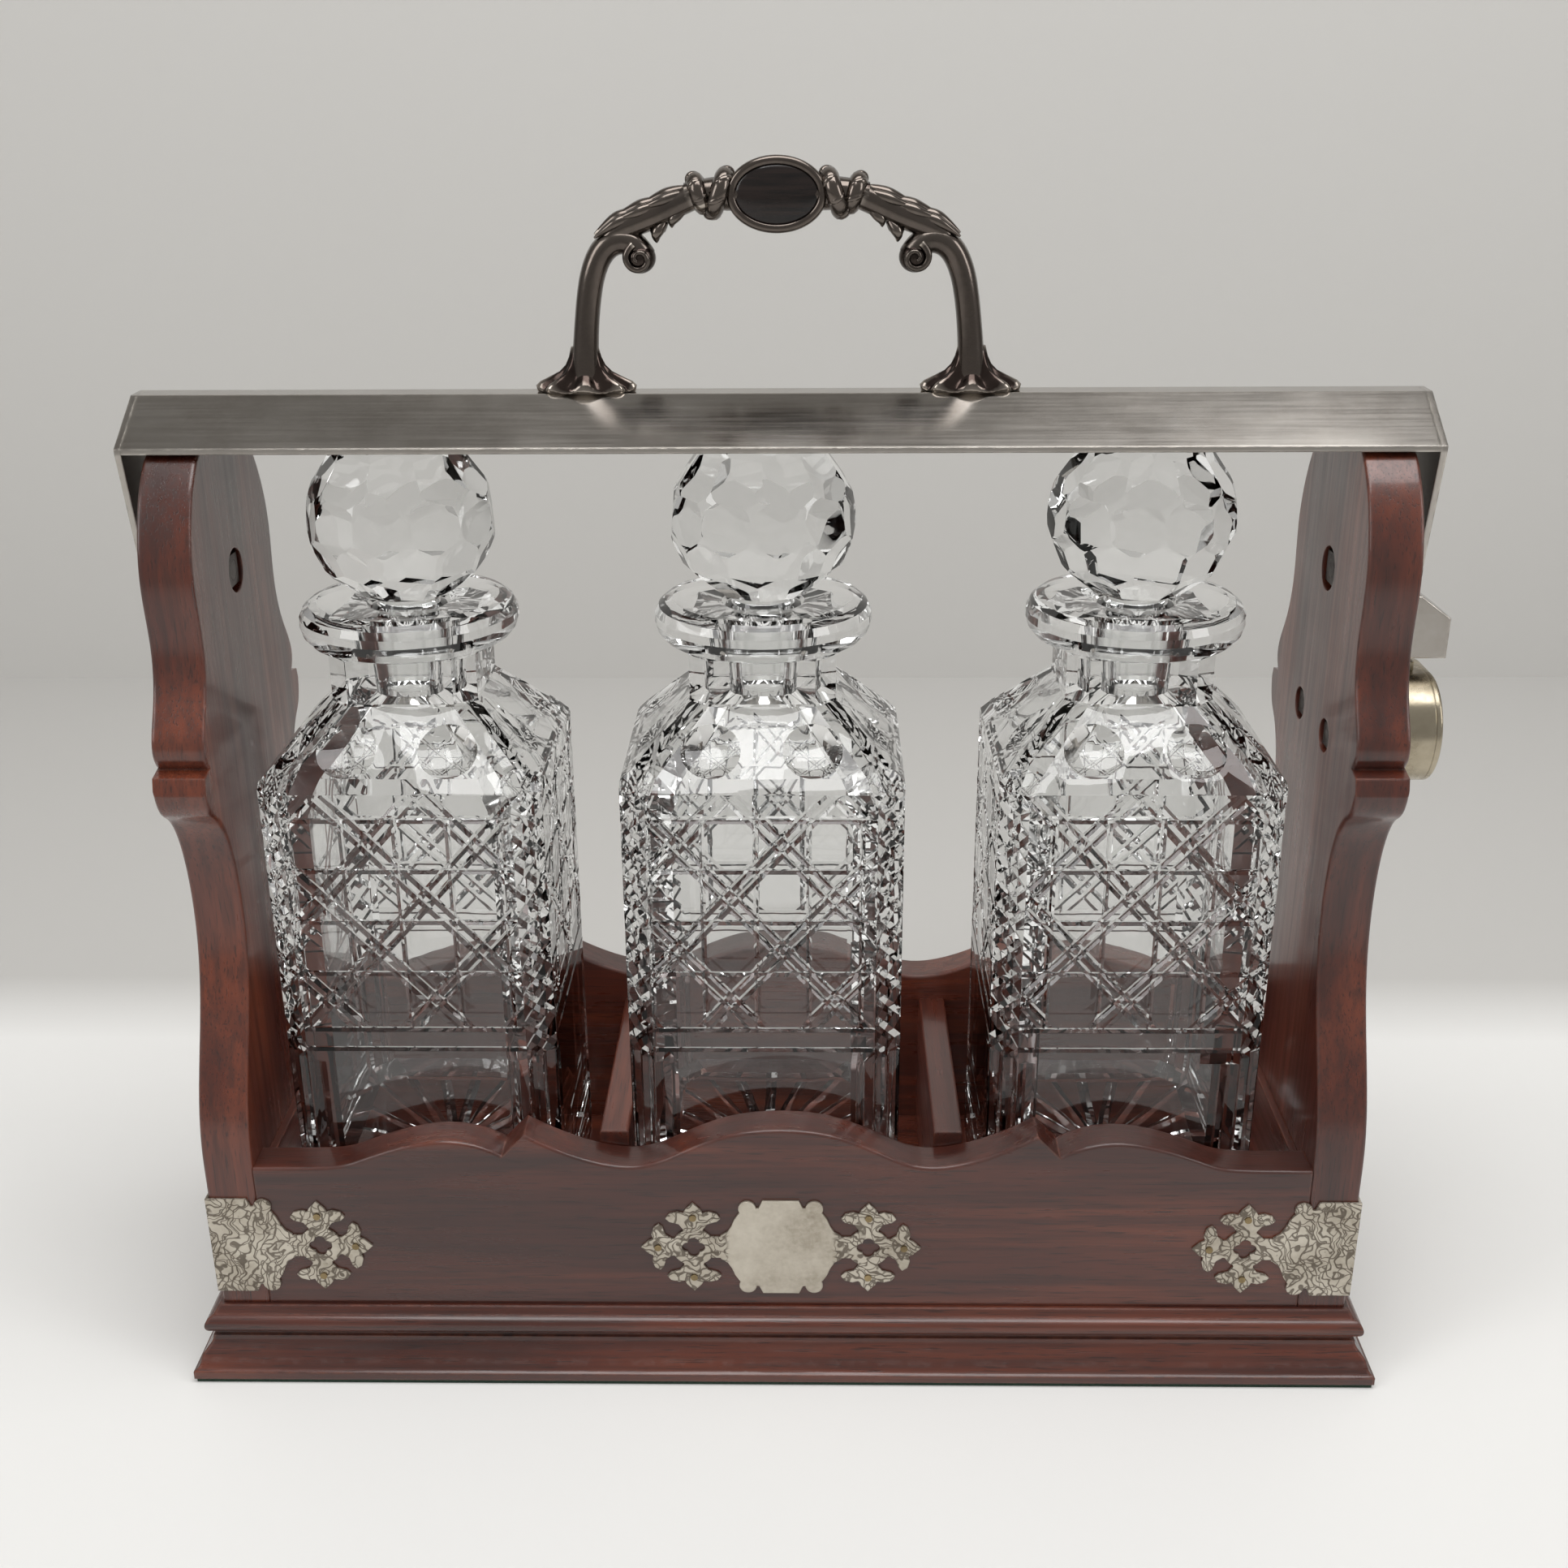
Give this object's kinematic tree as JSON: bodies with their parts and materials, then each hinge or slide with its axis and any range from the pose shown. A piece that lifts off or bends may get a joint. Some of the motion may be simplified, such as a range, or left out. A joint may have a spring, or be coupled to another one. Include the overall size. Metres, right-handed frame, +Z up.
{
  "type": "antique tantalus",
  "caption": "Open mahogany carrier for square cut-glass decanters, held down by a hinged, locking plated bar with a cast carrying handle.",
  "frame": {"origin": "centre of the underside of the base, on the surface it stands on", "axes": "+X to the lock end (right), -Y towards the front with the silver cartouche, +Z up"},
  "size_m": [0.3836, 0.1264, 0.362],
  "materials": {
    "mahogany": "French-polished dark red-brown mahogany",
    "mount_plate": "worn, tarnished silver plate with engraving",
    "pin_metal": "dull plated brass",
    "underlay": "thin dark green felt",
    "bar_plate": "polished plate, grey-brown with age",
    "handle_metal": "cast and plated, dark and glossy with tarnish in the hollows",
    "inset": "polished ebony",
    "lock_metal": "tarnished plated brass",
    "fastener_metal": "dark bronzed steel",
    "cut_glass": "clear cut lead crystal"
  },
  "bodies": {
    "carrier": {"back_board": "mahogany", "base_board": "mahogany", "base_underlay": "underlay", "cartouche": "mount_plate", "corner_mount_left": "mount_plate", "corner_mount_right": "mount_plate", "divider_left": "mahogany", "divider_right": "mahogany", "end_lining_left": "mahogany", "end_lining_right": "mahogany", "front_board": "mahogany", "lock_case": "lock_metal", "lock_cover": "lock_metal", "lock_nuts": "fastener_metal", "lock_screws": "fastener_metal", "mount_pins": "pin_metal", "pivot_bolts": "fastener_metal", "pivot_nuts": "fastener_metal", "pivot_spacers": "fastener_metal", "plinth_back": "mahogany", "plinth_front": "mahogany", "plinth_left": "mahogany", "plinth_right": "mahogany", "side_panel_left": "mahogany", "side_panel_right": "mahogany", "tray_floor": "mahogany"},
    "bar": {"bar_channel": "bar_plate", "bar_side_left": "bar_plate", "bar_side_right": "bar_plate", "catch_lug": "bar_plate", "handle": "handle_metal", "handle_inset": "inset", "handle_nuts": "fastener_metal"},
    "lock_plug": {"lock_plug": "lock_metal"},
    "lock_bolt": {"lock_bolt": "lock_metal"},
    "decanter_left": {"decanter_left": "cut_glass"},
    "stopper_left": {"stopper_left": "cut_glass"},
    "decanter_middle": {"decanter_middle": "cut_glass"},
    "stopper_middle": {"stopper_middle": "cut_glass"},
    "decanter_right": {"decanter_right": "cut_glass"},
    "stopper_right": {"stopper_right": "cut_glass"}
  },
  "joints": [
    {"name": "bar_swing", "type": "hinge", "parent": "carrier", "child": "bar", "pos_m": [0, 0, 0.247], "axis": [1, 0, 0], "range_deg": [0, 90]},
    {"name": "plug_turn", "type": "hinge", "parent": "carrier", "child": "lock_plug", "pos_m": [0.19, 0, 0.2], "axis": [1, 0, 0], "range_deg": [0, 60]},
    {"name": "bolt_throw", "type": "slide", "parent": "carrier", "child": "lock_bolt", "axis": [0, 0, 1], "range_m": [0, 0.004]},
    {"name": "left_decanter_lift", "type": "slide", "parent": "carrier", "child": "decanter_left", "axis": [0, 0, 1], "range_m": [0, 0.0015]},
    {"name": "left_stopper_lift", "type": "slide", "parent": "decanter_left", "child": "stopper_left", "axis": [0, 0, 1], "range_m": [0, 0.0022]},
    {"name": "middle_decanter_lift", "type": "slide", "parent": "carrier", "child": "decanter_middle", "axis": [0, 0, 1], "range_m": [0, 0.0015]},
    {"name": "middle_stopper_lift", "type": "slide", "parent": "decanter_middle", "child": "stopper_middle", "axis": [0, 0, 1], "range_m": [0, 0.0022]},
    {"name": "right_decanter_lift", "type": "slide", "parent": "carrier", "child": "decanter_right", "axis": [0, 0, 1], "range_m": [0, 0.0015]},
    {"name": "right_stopper_lift", "type": "slide", "parent": "decanter_right", "child": "stopper_right", "axis": [0, 0, 1], "range_m": [0, 0.0022]}
  ],
  "couplings": [
    {"joint": "bolt_throw", "follows": "plug_turn", "m_per_rad": 0.003819}
  ]
}
